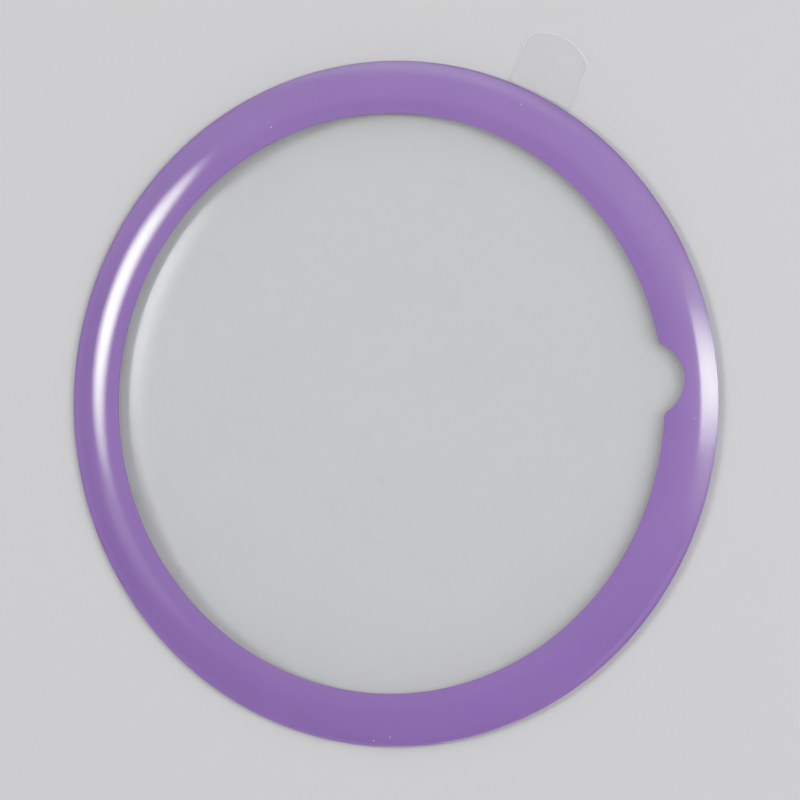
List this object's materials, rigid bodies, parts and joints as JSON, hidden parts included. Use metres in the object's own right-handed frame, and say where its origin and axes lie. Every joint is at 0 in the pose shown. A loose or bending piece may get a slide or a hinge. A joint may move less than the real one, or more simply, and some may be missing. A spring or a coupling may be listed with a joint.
{
  "type": "smartwatch screen protector",
  "caption": "Round smartwatch screen film: curved clear lens with a violet printed border and sensor notch, bonded layers beneath, on a release liner with a pull tab.",
  "frame": {"origin": "centre of the release liner's underside, on the surface that the part lies on", "axes": "+Z out of the lens face; +X towards the notch for the light sensor (three o'clock); +Y towards twelve o'clock"},
  "size_m": [0.038, 0.0385, 0.0011],
  "materials": {
    "lens_sheet": "clear hard-coated sheet, high gloss",
    "violet_ink": "opaque violet ink seen through the gloss of the lens",
    "clear_bond": "clear pressure-sensitive bond",
    "guard_film": "clear film",
    "silicone_gel": "clear soft silicone, slightly hazy",
    "liner_film": "thin clear film with a faint haze"
  },
  "bodies": {
    "liner": {"release_liner": "liner_film"},
    "film": {"cover_lens": "lens_sheet", "border_print": "violet_ink", "bond_layer": "clear_bond", "guard_film": "guard_film", "gel_layer": "silicone_gel"}
  },
  "joints": [
    {"name": "lift_off", "type": "slide", "parent": "liner", "child": "film", "axis": [0, 0, 1], "range_m": [0, 0.012]}
  ]
}
